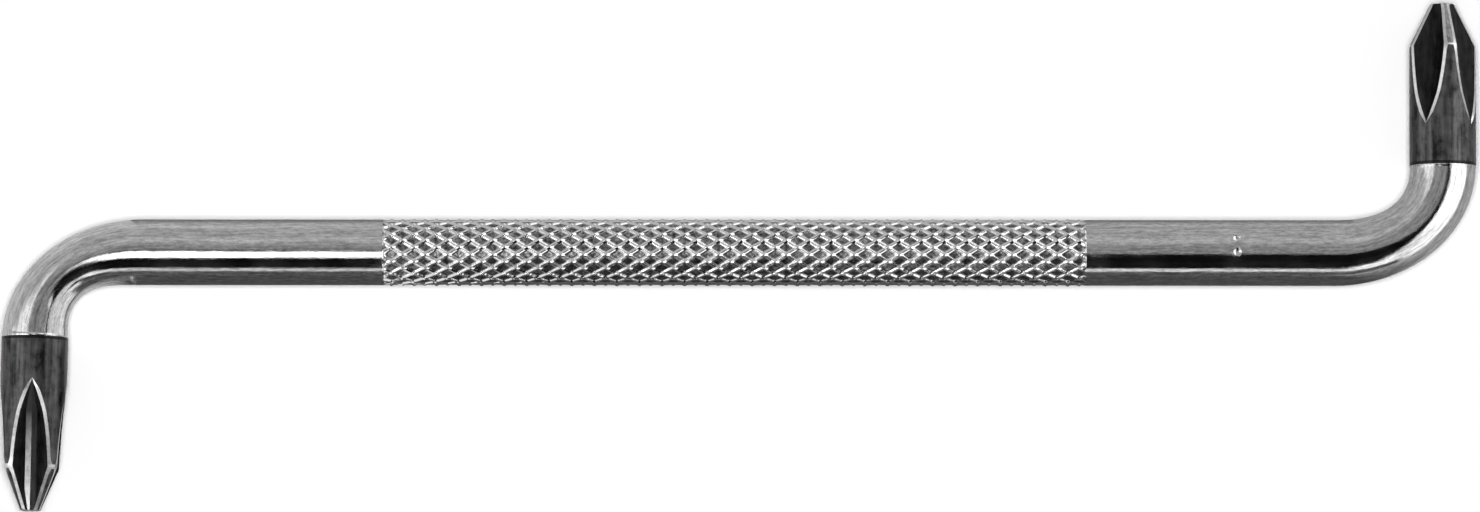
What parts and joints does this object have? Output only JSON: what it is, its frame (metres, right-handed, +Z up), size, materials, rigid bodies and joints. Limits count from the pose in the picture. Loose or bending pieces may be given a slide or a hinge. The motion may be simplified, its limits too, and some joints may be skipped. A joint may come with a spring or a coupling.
{
  "type": "offset screwdriver",
  "caption": "Offset screwdriver: a round plated steel bar with a diamond-knurled grip, bent to opposite sides at its ends into short legs with black cross points for screws in tight places.",
  "frame": {"origin": "under the middle of the bar, midway between its two corners, on the surface that the tool lies on", "axes": "+X along the bar from the leg that looks along -Y to the leg that looks along +Y; +Z up from the surface, square to the flat of the tool"},
  "size_m": [0.135, 0.0466, 0.0062],
  "materials": {
    "plated_bar": "bright chrome plate over a ground bar",
    "rolled_grip": "chrome plate over rolled diamond knurling",
    "black_point": "blackened steel with ground bright edges"
  },
  "bodies": {
    "root": {"left_tip": "black_point", "left_bend": "plated_bar", "left_shank": "plated_bar", "knurled_grip": "rolled_grip", "right_shank": "plated_bar", "right_bend": "plated_bar", "right_tip": "black_point"}
  },
  "joints": []
}
